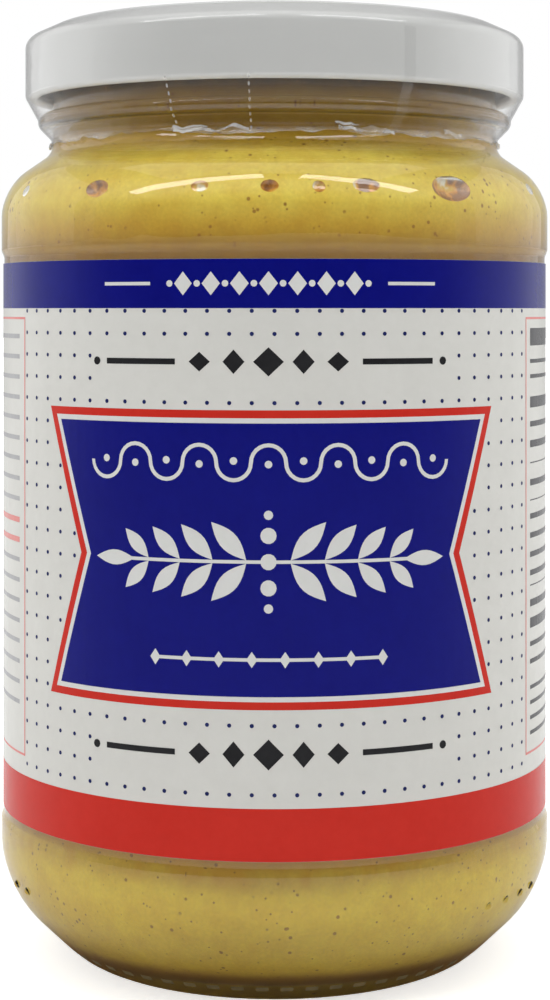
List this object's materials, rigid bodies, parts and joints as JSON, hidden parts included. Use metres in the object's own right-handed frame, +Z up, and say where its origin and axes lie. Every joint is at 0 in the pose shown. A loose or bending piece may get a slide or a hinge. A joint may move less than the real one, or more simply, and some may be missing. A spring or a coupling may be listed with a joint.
{
  "type": "mustard jar",
  "caption": "Round glass jar filled with mustard, with a white twist-off lid, a clear shrink band and a wrap-round paper label.",
  "frame": {"origin": "middle of the ring that the jar stands on, at table height", "axes": "+Z up along the jar's axis; the front of the label faces -Y, +X is to its right"},
  "size_m": [0.072, 0.072, 0.121],
  "materials": {
    "jar_glass": "clear flint glass, smooth, with moulded base grooves and heel dots",
    "mustard_paste": "thick yellow mustard paste with fine brown specks",
    "lid_lacquer": "white gloss lacquer on tinplate",
    "shrink_film": "thin clear shrink film, glossy, crinkled at its edges",
    "label_paper": "white coated paper with blue and red print"
  },
  "bodies": {
    "root": {"glass_jar": "jar_glass", "mustard": "mustard_paste", "lid": "lid_lacquer", "shrink_band": "shrink_film", "label": "label_paper"}
  },
  "joints": []
}
